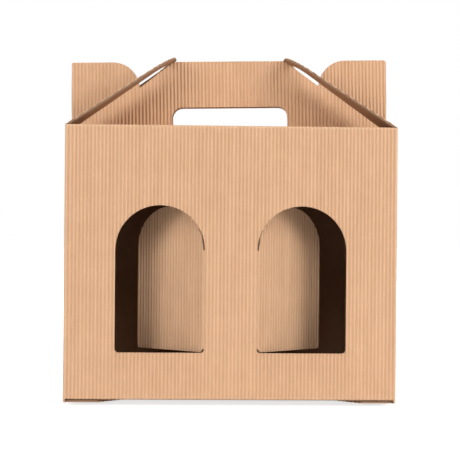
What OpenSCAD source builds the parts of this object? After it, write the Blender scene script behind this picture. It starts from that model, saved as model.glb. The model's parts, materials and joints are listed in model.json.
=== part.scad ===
// Carrier box for two jars, folded from one blank of open-flute board.
// The smooth liner is inside and the flutes stand upright on the outside.
// Origin: middle of the footprint, on the surface that the box stands on.
// Front wall towards -Y, +Z up, millimetres.

/* [Box] */
// Outside width across the two windows
box_w = 216; // [192:2.4:264]
// Outside depth from front to back
box_d = 108; // [96:2.4:132]
// Height of the front wall, from its bottom fold to its top fold
wall_h = 178; // [150:2:220]

/* [Board] */
// Thickness from the liner's smooth face to the flute crests
board_t = 1.5; // [1.2:0.1:2]
// Distance from one flute crest to the next
flute_pitch = 2.4; // [2.2:0.1:3.6]
// Height of the flutes above the liner
flute_h = 0.85; // [0.5:0.05:1]
// Share of the pitch that the flat of a crest takes
crest_share = 0.4; // [0.2:0.05:0.6]
// Outside radius of the upright folded corners
fold_r = 1.3; // [0.8:0.1:1.5]

/* [Windows] */
// Width of each window
window_w = 58; // [46:1:62]
// Height of each window, to the top of its arch
window_h = 95.5; // [80:0.5:110]
// Height of the sill above the bottom fold of the front wall
window_sill = 30.5; // [20:0.5:36]
// Width of the wall between the two windows
window_gap = 34; // [24:1:46]
// Radius of the windows' bottom corners
window_r = 2.5; // [1:0.5:6]
// How far each window's flap is pushed in, in degrees
flap_push = 40.5; // [20:0.5:70]

/* [Handle] */
// Height of the handle and of the ears above the shoulders
handle_h = 47.8; // [42:0.1:54]
// Width of the top of the handle
handle_top_w = 75.6; // [60:0.2:90]
// Distance from the side walls at which the handle's slanted sides start
handle_foot = 6; // [3:0.5:10]
// Width of the ears at each end of the handle
ear_w = 46.5; // [40:0.5:52]
// Radius of the ears' inner top corners
ear_round = 18; // [8:0.5:24]
// Radius of the ears' outer top corners
ear_r = 2; // [0.5:0.5:5]
// Width of the hand hole
hole_w = 79; // [70:1:84]
// Height of the hand hole above the shoulders
hole_h = 16.5; // [12:0.5:22]
// Radius of the hand hole's top corners
hole_r = 7; // [3:0.5:10]
// Sideways lean of the set-up handle, in degrees
handle_lean = 1.2; // [0:0.1:1.5]
// How far the back handle panel's hole sits off the front one's
hole_slip = 0.7; // [0:0.1:1.5]

/* [Roof flaps] */
// Length of the roof flaps from fold to tip
roof_len = 86.5; // [85.5:0.5:94]
// Width that the sides of the roof flaps run down to at the tips, before these are rounded
roof_tip_w = 24; // [22:1:50]
// Width of the round-ended slot that the ears stand through
slot_w = 34; // [16:1:35]
// Width of the bar that joins the two legs of a roof flap at its tip
tip_bar = 7; // [6:0.5:12]

/* [Bottom] */
// Length of the two side flaps of the bottom
side_flap_l = 57; // [40:1:60]
// Straight length of a side flap's edge beside the front and back walls
side_flap_edge = 22; // [12:1:30]
// Depth of the front flap of the bottom
front_flap_l = 60; // [48:1:64]
// Depth of the back flap of the bottom, beside its tongue
back_flap_l = 62; // [58:1:64]
// Distance from the back wall to the crease where the tongue rises
tongue_root = 44; // [38:1:46]
// Width of the tongue that locks the bottom
tongue_w = 88; // [60:1:90]
// Length of the tongue beyond its crease
tongue_l = 48; // [40:1:52]
// Depth of the recess in the front flap that the tongue passes through
recess_l = 21; // [16:1:22]
// Width of the glued seam flap inside the back corner
seam_w = 20; // [12:1:30]

/* [Fits] */
// Width of the die cut round the window flaps
kerf = 0.4; // [0.3:0.05:0.6]
// Gap along the folds of the roof flaps
fold_gap = 0.2; // [0.15:0.05:0.3]
// Gap between the two handle panels
layer_gap = 0.3; // [0.2:0.05:0.5]
// Gap between the layers of the bottom
bottom_gap = 0.6; // [0.3:0.1:1]
// Gap between the roof flaps and the handle that they rest on
rest_gap = 0.3; // [0.2:0.05:0.5]
// Side play of a panel that folds in between its neighbours
panel_play = 1; // [0.5:0.1:2]

/* [Hidden] */

KRAFT = [0.83, 0.66, 0.5];
KRAFT_FLAP = [0.78, 0.6, 0.44];
ARC = 64;
LEFT = -1;
RIGHT = 1;
CUT = 20;
STRAIGHT = 180;
SQUARE = 90;
OVER = 0.01;

// The bottom is three layers deep: back flap, side flaps, front flap
layer = board_t + bottom_gap;
z_back = 0;
z_side = z_back + layer;
z_front = z_side + layer;
z_top = z_front + wall_h;

// The shoulders end clear of the roots of the roof flaps
shoulder_w = box_w - 2 * (2 * board_t + panel_play / 2);
// Angle of the roof flaps' sides to their middle line, and the radius of the tips between them
tip_turn = atan((box_d / 2 - fold_gap - roof_tip_w / 2) / roof_len);
tip_r = roof_tip_w / 2 * cos(tip_turn) / (1 - sin(tip_turn));
// Widest that a bottom flap of the front or back wall can be between the side walls
flap_w = box_w - 2 * board_t - 2 * panel_play;
panel_y = layer_gap / 2 + board_t;
// Flutes keep one spacing across the front, the shoulders and the handle
pitch_w = box_w / round(box_w / flute_pitch);
spare_flutes = 8;
// Middle of a corner's rounding, in from the square corner, and flat of a pressed fold
bend = fold_r * (1 - cos(SQUARE / 2));
crease = fold_r / 2;
// The handle leans about a point above the middle of its fold
lean_z = 20;
// Slope of the rising part of the tongue
tongue_rise = 24;
tongue_z = z_front + layer;

// ---- points and outlines ----

// A flat point turned by an angle about the origin
function turned(p, a) = [p[0] * cos(a) - p[1] * sin(a), p[0] * sin(a) + p[1] * cos(a)];

// Outer face of a straight run of board: crests at depth 0 and sharp valleys at flute_h,
// with its end crests run out to the given distance from both ends
function flutes(len, end) =
    let (count = round(len / flute_pitch), pitch = len / count)
    [for (i = [0 : count - 1])
        each concat(
            [[i == 0 ? end : (i + 0.5 - crest_share / 2) * pitch, 0]],
            [[i == count - 1 ? len - end : (i + 0.5 + crest_share / 2) * pitch, 0]],
            i == count - 1 ? [] : [[(i + 1) * pitch, flute_h]])];

// Outer face of a standing sheet, from the rounded fold at one end to the one at the other
function face(len) = concat([[0, fold_r], [bend, bend]], flutes(len, fold_r), [[len - bend, bend], [len, fold_r]]);

// Centre line of a window, on the side given
function window_x(side) = side * (window_gap + window_w) / 2;

// A point of the handle panels after their sideways lean, above the shoulders
function leaned(x, z) = [0, lean_z] + turned([x, z - lean_z], handle_lean);

// Angle above level at which a roof flap rests on the handle's top corner
function roof_angle(side) =
    let (top = leaned(side * handle_top_w / 2, handle_h),
         reach = [box_w / 2 - side * top[0], top[1]])
    atan2(reach[1], reach[0]) + asin((board_t + rest_gap) / norm(reach));

// ---- board ----

// Standing sheet of board: crests at y = 0 facing -Y, liner at y = board_t, flutes along Z
module board(w, h) {
    linear_extrude(h)
        translate([-w / 2, 0])
            polygon(concat(flutes(w, 0), [[w, board_t], [0, board_t]]));
}

// Level sheet of board: crests at z = 0 facing up, flutes running along +X from x = 0
module level_board(w, len) {
    rotate([-SQUARE, 0, -SQUARE]) board(w, len);
}

// Drawing in the X-Z plane made into a block from y0 to y1
module cut_out(y0, y1) {
    translate([0, y1, 0]) rotate([SQUARE, 0, 0]) linear_extrude(y1 - y0) children();
}

// Standing sheet of board folded square at its foot and at its head, with its crests outside
// at y = 0 and its flutes carried round both folds. The first child is the outline of the
// foot and the second that of the head, seen from above; without one the top stays open.
module belt(w, low, high) {
    ceiling = $children > 1 ? high : high + CUT;
    intersection() {
        translate([-w / 2, 0, low]) linear_extrude(high - low) polygon(concat(face(w), [[w, w], [0, w]]));
        cut_out(-CUT, w)
            polygon(concat([for (p = flutes(w, 0)) [p[0] - w / 2, low + p[1]]],
                           [for (p = flutes(w, 0)) [w / 2 - p[0], ceiling - p[1]]]));
        translate([-w / 2, 0, 0])
            rotate([SQUARE, 0, SQUARE])
                linear_extrude(w)
                    polygon([[0, low], [w, low], [w, ceiling], [crease, ceiling], [0, ceiling - crease]]);
        union() {
            translate([-w / 2, 0, low]) cube([w, board_t, high - low]);
            translate([0, 0, low]) linear_extrude(board_t) children(0);
            if ($children > 1) translate([0, 0, high - board_t]) linear_extrude(board_t) children(1);
        }
    }
}

// ---- windows ----

// Outline of a window in the X-Z plane, smaller by the inset given on every side
module window_outline(side, inset) {
    half = window_w / 2 - inset;
    low = z_front + window_sill + inset;
    spring = z_front + window_sill + window_h - window_w / 2;
    translate([window_x(side), 0]) {
        translate([0, spring]) circle(half, $fn = ARC);
        translate([-half, low + window_r]) square([2 * half, spring - low - window_r]);
        translate([-half + window_r, low]) square([2 * (half - window_r), spring - low]);
        for (x = [-half + window_r, half - window_r])
            translate([x, low + window_r]) circle(window_r, $fn = ARC);
    }
}

// ---- carton ----

// Slanted top edges of the side walls, each the mitre that its roof flap closes on
module wall_mitre(side) {
    translate([side * box_w / 2, 0, z_top])
        mirror([side == RIGHT ? 1 : 0, 0, 0])
            rotate([0, (SQUARE - roof_angle(side)) / 2, 0])
                translate([0, -box_d / 2 + fold_r, 0])
                    cube([2 * board_t, box_d - 2 * fold_r, CUT / 4]);
}

// Seam flap glued inside the back right corner
module seam_flap() {
    translate([box_w / 2 - board_t - seam_w, box_d / 2 - 2 * board_t, z_front + layer])
        cube([seam_w, board_t, wall_h - 2 * layer]);
}

// Outline of a shoulder, from its wall's top fold to the handle's fold
module shoulder_outline() {
    translate([-shoulder_w / 2, 0]) square([shoulder_w, box_d / 2 - layer_gap / 2]);
}

// ---- handle ----

// Outline of a handle panel above the shoulders, before it leans
module handle_outline(slip) {
    difference() {
        union() {
            polygon([[-box_w / 2 + handle_foot, 0], [-handle_top_w / 2, handle_h],
                     [handle_top_w / 2, handle_h], [box_w / 2 - handle_foot, 0],
                     [box_w / 2, -CUT], [-box_w / 2, -CUT]]);
            for (side = [LEFT, RIGHT]) ear_outline(side);
        }
        translate([slip, -slip]) hand_hole();
    }
}

// One ear, with a wide rounding towards the handle
module ear_outline(side) {
    mirror([side == RIGHT ? 1 : 0, 0])
        translate([-box_w / 2, 0]) {
            translate([0, -CUT]) square([ear_w, handle_h - ear_round + CUT]);
            translate([0, -CUT]) square([ear_w - ear_round, handle_h - ear_r + CUT]);
            translate([ear_r, -CUT]) square([ear_w - ear_round - ear_r, handle_h + CUT]);
            translate([ear_r, handle_h - ear_r]) circle(ear_r, $fn = ARC / 2);
            translate([ear_w - ear_round, handle_h - ear_round]) circle(ear_round, $fn = ARC);
        }
}

// Hand hole, from its rounded top down to the fold
module hand_hole() {
    translate([-hole_w / 2, -CUT]) square([hole_w, hole_h - hole_r + CUT]);
    translate([-hole_w / 2 + hole_r, -CUT]) square([hole_w - 2 * hole_r, hole_h + CUT]);
    for (x = [-hole_w / 2 + hole_r, hole_w / 2 - hole_r])
        translate([x, hole_h - hole_r]) circle(hole_r, $fn = ARC);
}

// Front handle panel with its two ears, leaning a little to one side
module handle_panel(slip) {
    intersection() {
        translate([0, -panel_y, z_top - board_t])
            translate([0, 0, lean_z + board_t])
                rotate([0, -handle_lean, 0])
                    translate([0, 0, -lean_z - CUT])
                        board(box_w + spare_flutes * pitch_w, handle_h + 2 * CUT);
        translate([0, 0, z_top])
            cut_out(-CUT, CUT)
                intersection() {
                    translate([0, lean_z]) rotate(handle_lean) translate([0, -lean_z]) handle_outline(slip);
                    union() {
                        translate([-box_w / 2, rest_gap]) square([box_w, 2 * handle_h]);
                        translate([-shoulder_w / 2, -board_t / 2]) square([shoulder_w, handle_h]);
                    }
                }
    }
}

// ---- bottom ----

// Outline of the front flap, the innermost layer, with the recess for the tongue
module front_flap_outline() {
    recess_w = tongue_w + 2 * layer;
    difference() {
        polygon([[-flap_w / 2, 0], [-flap_w / 2, board_t], [-flap_w / 2 + front_flap_l / 3, front_flap_l],
                 [flap_w / 2 - front_flap_l / 3, front_flap_l], [flap_w / 2, board_t], [flap_w / 2, 0]]);
        translate([-recess_w / 2, front_flap_l - recess_l]) square([recess_w, CUT + recess_l]);
    }
}

// Outline of a side flap, with corners cut back from its straight edges
module side_flap_outline() {
    half = box_d / 2 - board_t - panel_play / 2;
    tip = half / 3;
    polygon([[-half, 0], [-half, side_flap_edge], [-tip, side_flap_l],
             [tip, side_flap_l], [half, side_flap_edge], [half, 0]]);
}

// Outline of the back flap, the outermost layer, with room cut free for its tongue
module back_flap_outline() {
    tip = tongue_w + back_flap_l;
    room = tongue_w + 2 * panel_play;
    difference() {
        polygon([[-flap_w / 2, 0], [-tip / 2, back_flap_l], [tip / 2, back_flap_l], [flap_w / 2, 0]]);
        translate([-room / 2, tongue_root]) square([room, back_flap_l]);
    }
}

// Tongue of the back flap: it rises through the recess and lies on the front flap
module tongue() {
    y_root = box_d / 2 - tongue_root;
    y_up = y_root - tongue_rise;
    y_end = y_root - tongue_l;
    translate([tongue_w / 2, 0, z_back])
        rotate([SQUARE, 0, -SQUARE])
            linear_extrude(tongue_w)
                polygon([[-y_root - OVER, 0], [-y_root, 0], [-y_up, tongue_z], [-y_end, tongue_z],
                         [-y_end, tongue_z + board_t], [-y_up, tongue_z + board_t], [-y_root, board_t],
                         [-y_root - OVER, board_t]]);
}

// The folded blank: four walls with their bottom flaps, shoulders and handle panels
module carton() {
    color(KRAFT)
        difference() {
            union() {
                translate([0, -box_d / 2, 0])
                    belt(box_w, z_front, z_top) {
                        front_flap_outline();
                        shoulder_outline();
                    }
                translate([0, box_d / 2, 0])
                    rotate(STRAIGHT)
                        belt(box_w, z_back, z_top) {
                            back_flap_outline();
                            shoulder_outline();
                        }
                for (side = [LEFT, RIGHT])
                    translate([side * box_w / 2, 0, 0])
                        rotate(side * SQUARE)
                            belt(box_d, z_side, z_top) side_flap_outline();
                seam_flap();
                tongue();
                handle_panel(0);
                mirror([0, 1, 0]) handle_panel(hole_slip);
            }
            for (side = [LEFT, RIGHT]) {
                cut_out(-box_d / 2 - CUT, -box_d / 2 + CUT / 2) window_outline(side, 0);
                wall_mitre(side);
            }
        }
}

// ---- flaps that move ----

// Flat roof flap on the left side's terms: fold along Y at the origin, tip towards +X
module roof_flap_outline() {
    root_w = box_d - 2 * board_t - 2 * fold_gap;
    tip = [roof_len - tip_r + tip_r * sin(tip_turn), tip_r * cos(tip_turn)];
    difference() {
        intersection() {
            union() {
                polygon([[0, -box_d / 2 + fold_gap], [tip[0], -tip[1]], tip, [0, box_d / 2 - fold_gap]]);
                translate([roof_len - tip_r, 0]) circle(tip_r, $fn = ARC);
            }
            translate([0, -root_w / 2]) square([roof_len, root_w]);
        }
        translate([-CUT, -slot_w / 2]) square([roof_len - tip_bar - slot_w / 2 + CUT, slot_w]);
        translate([roof_len - tip_bar - slot_w / 2, 0]) circle(slot_w / 2, $fn = ARC);
    }
}

// Roof flap: two legs beside the slot, joined at the tip, mitred where it meets its wall
module roof_flap(side) {
    angle = roof_angle(side);
    color(KRAFT_FLAP)
        translate([side * box_w / 2, 0, z_top])
            mirror([side == RIGHT ? 1 : 0, 0, 0])
                rotate([0, -angle, 0])
                    difference() {
                        intersection() {
                            level_board(box_d, roof_len);
                            translate([0, 0, -CUT]) linear_extrude(2 * CUT) roof_flap_outline();
                        }
                        translate([fold_gap, 0, 0])
                            rotate([0, (SQUARE + angle) / 2, 0])
                                translate([-CUT / 4, -box_d / 2, -CUT / 4])
                                    cube([CUT / 2, box_d, CUT / 4]);
                    }
}

// Window flap: the piece of the front wall inside its die cut, pushed in about the liner's fold
module window_flap(side) {
    hinge = [side * window_gap / 2, -box_d / 2 + board_t, 0];
    color(KRAFT_FLAP)
        translate(hinge)
            rotate([0, 0, side * flap_push])
                translate(-hinge)
                    intersection() {
                        translate([0, -box_d / 2, z_front]) board(box_w, wall_h);
                        cut_out(-box_d / 2 - CUT, -box_d / 2 + CUT / 2) window_outline(side, kerf);
                    }
}

carton();
roof_flap(LEFT);  // left_roof_flap
roof_flap(RIGHT);  // right_roof_flap
window_flap(LEFT);  // left_window_flap
window_flap(RIGHT);  // right_window_flap
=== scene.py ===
"""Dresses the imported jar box: a carrier folded from one blank of open-flute board.

Every panel is two plies, a smooth liner and a fluted sheet glued on its outside. Each ply is
swept from a row of points round the folds, trimmed to its die-cut outline, and then thickened.
"""

import json
import logging
import math
from dataclasses import dataclass, replace
from enum import Enum, IntEnum
from functools import reduce
from typing import Any, Callable, Iterable, Sequence

import bmesh
import bpy
from bmesh.types import BMEdge, BMFace, BMVert
from mathutils import Matrix, Vector
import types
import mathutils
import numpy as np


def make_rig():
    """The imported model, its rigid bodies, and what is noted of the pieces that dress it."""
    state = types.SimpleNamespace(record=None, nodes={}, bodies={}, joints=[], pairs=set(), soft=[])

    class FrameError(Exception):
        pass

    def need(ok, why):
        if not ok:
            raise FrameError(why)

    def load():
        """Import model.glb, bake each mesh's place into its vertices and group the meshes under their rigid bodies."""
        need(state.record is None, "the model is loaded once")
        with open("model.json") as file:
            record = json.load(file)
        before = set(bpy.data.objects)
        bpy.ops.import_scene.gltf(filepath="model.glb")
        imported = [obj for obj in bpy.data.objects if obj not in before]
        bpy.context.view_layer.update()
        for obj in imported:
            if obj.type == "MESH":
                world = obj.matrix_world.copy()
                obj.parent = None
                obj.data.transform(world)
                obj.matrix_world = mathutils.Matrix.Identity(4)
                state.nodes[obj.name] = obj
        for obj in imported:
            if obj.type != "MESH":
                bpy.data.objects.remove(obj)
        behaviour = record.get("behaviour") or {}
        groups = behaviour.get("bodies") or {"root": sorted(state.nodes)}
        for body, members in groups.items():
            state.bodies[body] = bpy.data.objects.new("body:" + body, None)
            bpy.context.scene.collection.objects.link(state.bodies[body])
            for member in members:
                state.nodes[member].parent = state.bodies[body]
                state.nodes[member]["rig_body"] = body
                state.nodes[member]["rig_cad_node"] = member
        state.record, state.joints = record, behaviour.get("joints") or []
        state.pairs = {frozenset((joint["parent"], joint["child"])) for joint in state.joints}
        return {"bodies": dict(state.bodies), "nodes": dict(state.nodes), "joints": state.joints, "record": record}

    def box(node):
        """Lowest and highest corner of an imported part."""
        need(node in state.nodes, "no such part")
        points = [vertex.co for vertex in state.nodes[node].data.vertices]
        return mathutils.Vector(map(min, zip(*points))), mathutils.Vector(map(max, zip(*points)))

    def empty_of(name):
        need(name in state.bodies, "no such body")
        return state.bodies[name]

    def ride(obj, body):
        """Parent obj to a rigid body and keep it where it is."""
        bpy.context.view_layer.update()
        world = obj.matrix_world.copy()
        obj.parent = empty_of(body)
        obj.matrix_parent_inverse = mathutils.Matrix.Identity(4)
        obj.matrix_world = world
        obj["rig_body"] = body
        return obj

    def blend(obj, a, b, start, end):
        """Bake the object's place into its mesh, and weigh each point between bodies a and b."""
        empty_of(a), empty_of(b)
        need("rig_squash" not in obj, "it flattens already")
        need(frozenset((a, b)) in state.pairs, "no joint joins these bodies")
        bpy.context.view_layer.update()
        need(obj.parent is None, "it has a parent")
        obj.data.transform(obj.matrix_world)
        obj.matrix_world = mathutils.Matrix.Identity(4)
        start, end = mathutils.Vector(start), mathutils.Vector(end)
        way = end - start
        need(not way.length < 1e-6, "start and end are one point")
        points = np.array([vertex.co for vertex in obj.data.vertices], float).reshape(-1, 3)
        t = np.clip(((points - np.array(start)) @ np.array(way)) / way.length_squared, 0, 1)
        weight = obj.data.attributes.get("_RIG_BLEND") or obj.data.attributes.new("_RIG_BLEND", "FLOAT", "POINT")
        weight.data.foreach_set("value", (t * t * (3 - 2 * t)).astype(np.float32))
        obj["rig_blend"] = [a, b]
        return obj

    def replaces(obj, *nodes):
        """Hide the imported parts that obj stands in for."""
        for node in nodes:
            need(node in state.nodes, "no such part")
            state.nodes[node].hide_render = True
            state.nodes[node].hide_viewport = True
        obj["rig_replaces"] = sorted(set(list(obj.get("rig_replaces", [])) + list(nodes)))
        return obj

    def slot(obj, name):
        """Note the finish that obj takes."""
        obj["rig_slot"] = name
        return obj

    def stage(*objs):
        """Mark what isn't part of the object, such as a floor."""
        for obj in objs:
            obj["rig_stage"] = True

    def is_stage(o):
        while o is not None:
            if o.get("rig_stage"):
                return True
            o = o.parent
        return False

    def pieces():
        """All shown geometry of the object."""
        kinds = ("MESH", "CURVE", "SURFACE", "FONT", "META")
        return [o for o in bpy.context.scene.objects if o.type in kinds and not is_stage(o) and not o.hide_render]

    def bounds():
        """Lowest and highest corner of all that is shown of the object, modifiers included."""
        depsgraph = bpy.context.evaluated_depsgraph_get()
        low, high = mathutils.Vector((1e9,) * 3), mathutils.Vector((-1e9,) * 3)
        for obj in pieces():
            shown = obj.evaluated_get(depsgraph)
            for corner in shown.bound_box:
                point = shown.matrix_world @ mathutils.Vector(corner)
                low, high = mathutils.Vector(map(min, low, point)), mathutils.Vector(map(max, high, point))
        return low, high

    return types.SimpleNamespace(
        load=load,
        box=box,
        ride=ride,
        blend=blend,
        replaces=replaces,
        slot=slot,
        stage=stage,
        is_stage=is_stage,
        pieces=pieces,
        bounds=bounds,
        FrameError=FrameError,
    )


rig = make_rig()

LOG = logging.getLogger("jar_box")
MM = 0.001
TINY = 1e-7
PER_METRE = 1000.0
QUARTER = math.pi / 2
SHARP = math.radians(50)
FOLD_STEPS = 4
WHITE = (1.0, 1.0, 1.0, 1.0)
Point = tuple[float, float]
Colour = tuple[float, float, float]

FLUTE_TAN: Colour = (0.73, 0.47, 0.295)
# Dark flute colour: the paper's darker tone and grain, and the painted shade in the flute valleys.
FLUTE_DEEP_AND_SHADE: Colour = (0.42, 0.22, 0.11)
# Liner colours darker than the flutes': partly a darker liner paper and partly painted shade that keeps the box's
# inside dark.
LINER_TAN_AND_SHADE: Colour = (0.42, 0.25, 0.145)
LINER_DEEP_AND_SHADE: Colour = (0.25, 0.13, 0.07)
EDGE_TAN: Colour = (0.42, 0.29, 0.205)
EDGE_DEEP: Colour = (0.2, 0.13, 0.09)


class Side(Enum):
    """Left or right, as the sign of X."""

    LEFT = -1
    RIGHT = 1

    @property
    def word(self) -> str:
        """The side's name as it stands in the names of nodes."""
        return self.name.lower()


class Ply(Enum):
    """The two sheets that single-face board is glued from."""

    FLUTES = "flutes"
    LINER = "liner"


class Zone(IntEnum):
    """Part of a swept sheet, so that a trim can be kept to it."""

    BODY = 1
    SEAM = 2
    RIGHT = 3
    FRONT = 4
    LEFT = 5
    BACK = 6
    CORNER = 7
    BACK_CORNER = 8
    FOLD = 9
    SHOULDER = 10
    FRONT_FOOT = 11
    RIGHT_FOOT = 12
    LEFT_FOOT = 13
    BACK_FOOT = 14


class Slot(IntEnum):
    """Material slots of every ply."""

    FACE = 0
    CUT = 1


# ---------------------------------------------------------------- sizes


@dataclass(frozen=True)
class Board:
    """Single-face board: flutes outside, liner inside, measured from the crests inwards.

    Depths are along the board's thickness; the flutes' pitch is across the panel.
    """

    thickness: float = 1.5 * MM
    pitch: float = 2.4 * MM
    relief: float = 0.8 * MM
    flute_ply: float = 0.22 * MM
    liner_ply: float = 0.3 * MM
    samples: int = 8
    pressed: float = 0.8

    def depth(self, ply: Ply, across: float) -> float:
        """Depth of a ply's outer face below the crests.

        Args:
            ply: the ply that is asked for.
            across: distance across the panel.

        Returns:
            The depth at that distance.
        """
        if ply is Ply.LINER:
            return self.thickness - self.liner_ply
        wave = (1 + math.cos(2 * math.pi * across / self.pitch)) / 2
        return self.relief * wave

    def crush(self, ply: Ply) -> float:
        """Share of a ply's depth that a fold presses flat."""
        return self.pressed if ply is Ply.FLUTES else 0.0

    def ply_thickness(self, ply: Ply) -> float:
        """Thickness of one ply."""
        return self.flute_ply if ply is Ply.FLUTES else self.liner_ply

    def stations(self, ply: Ply, start: float, end: float) -> list[float]:
        """Distances across a panel at which a ply's row has its points.

        Args:
            ply: the ply that the row is for.
            start: where the row starts.
            end: where the row ends.

        Returns:
            The two ends and what the ply's form needs between them.
        """
        step = self.pitch / self.samples if ply is Ply.FLUTES else 6 * self.pitch
        first = math.floor(start / step) + 1
        inner = [i * step for i in range(first, math.ceil(end / step))]
        near = step / 4
        return [start, *(a for a in inner if a - start > near and end - a > near), end]


@dataclass(frozen=True)
class Carrier:
    """Sizes of the folded box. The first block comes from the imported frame."""

    width: float
    depth: float
    top: float
    window_gap: float
    push: float

    wall: float = 178 * MM
    wall_t: float = 1.5 * MM
    layer: float = 2.1 * MM
    fold: float = 1.3 * MM
    crease: float = 1.2 * MM
    window_w: float = 58 * MM
    window_h: float = 95.5 * MM
    sill: float = 30.5 * MM
    window_r: float = 2.5 * MM
    kerf: float = 0.4 * MM
    handle_h: float = 47.8 * MM
    handle_top_w: float = 75.6 * MM
    handle_foot: float = 6 * MM
    ear_w: float = 46.5 * MM
    ear_round: float = 18 * MM
    ear_r: float = 2 * MM
    hole_w: float = 79 * MM
    hole_h: float = 16.5 * MM
    hole_r: float = 7 * MM
    hole_slip: float = 0.7 * MM
    lean: float = math.radians(1.2)
    lean_z: float = 20 * MM
    layer_gap: float = 0.3 * MM
    rest_gap: float = 0.3 * MM
    play: float = 1 * MM
    roof_len: float = 86.5 * MM
    roof_tip_w: float = 44 * MM
    slot_w: float = 27 * MM
    tip_bar: float = 7 * MM
    fold_gap: float = 0.2 * MM
    roof_inset: float = 1.7 * MM
    side_flap_l: float = 57 * MM
    side_flap_edge: float = 22 * MM
    front_flap_l: float = 60 * MM
    back_flap_l: float = 62 * MM
    tongue_root: float = 44 * MM
    tongue_w: float = 88 * MM
    tongue_l: float = 48 * MM
    tongue_rise: float = 24 * MM
    recess_l: float = 21 * MM
    foot_start: float = 1.5 * MM
    seam_w: float = 20 * MM

    @classmethod
    def from_frame(cls, record: dict[str, Any]) -> "Carrier":
        """Reads the box, the fold lines and the flaps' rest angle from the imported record.

        Args:
            record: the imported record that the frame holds.

        Returns:
            The sizes with their driving values filled in.
        """
        low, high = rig.box("carton")
        joints = {j["name"]: j for j in record["behaviour"]["joints"]}
        window = joints["right_window_fold"]
        return cls(
            width=high.x - low.x,
            depth=high.y - low.y,
            top=joints["right_roof_fold"]["pos_m"][2],
            window_gap=2 * window["pos_m"][0],
            push=math.radians(-window["range_deg"][0]),
        )

    @property
    def foot(self) -> float:
        """Height of the front wall's bottom fold."""
        return self.top - self.wall

    def leaned(self, x: float, z: float) -> Point:
        """Leans a point of the handle to one side.

        Args:
            x: its place across.
            z: its height above the shoulders.

        Returns:
            The two coordinates after the lean.
        """
        c, s = math.cos(self.lean), math.sin(self.lean)
        return x * c - (z - self.lean_z) * s, self.lean_z + x * s + (z - self.lean_z) * c

    def roof_angle(self, side: Side, board: Board) -> float:
        """Angle above level at which a roof flap rests on the handle's top corner.

        Args:
            side: which flap.
            board: gives the thickness of what lies on the corner.

        Returns:
            The angle in radians.
        """
        x, z = self.leaned(side.value * self.handle_top_w / 2, self.handle_h)
        reach = Vector((self.width / 2 - side.value * x, z))
        return math.atan2(reach.y, reach.x) + math.asin((board.thickness + self.rest_gap) / reach.length)


# ---------------------------------------------------------------- outlines


def arc(centre: Point, radius: float, start: float, end: float, steps: int = 10) -> list[Point]:
    """Points along an arc, both ends included.

    Args:
        centre: middle of the circle.
        radius: its radius.
        start: first angle, in degrees.
        end: last angle, in degrees.
        steps: number of straight pieces.

    Returns:
        The points in order.
    """
    angles = (math.radians(start + (end - start) * i / steps) for i in range(steps + 1))
    return [(centre[0] + radius * math.cos(a), centre[1] + radius * math.sin(a)) for a in angles]


def mirrored(points: Iterable[Point]) -> list[Point]:
    """The same points on the other side of the line across = 0, in reverse order."""
    return [(-x, y) for x, y in reversed(list(points))]


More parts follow.
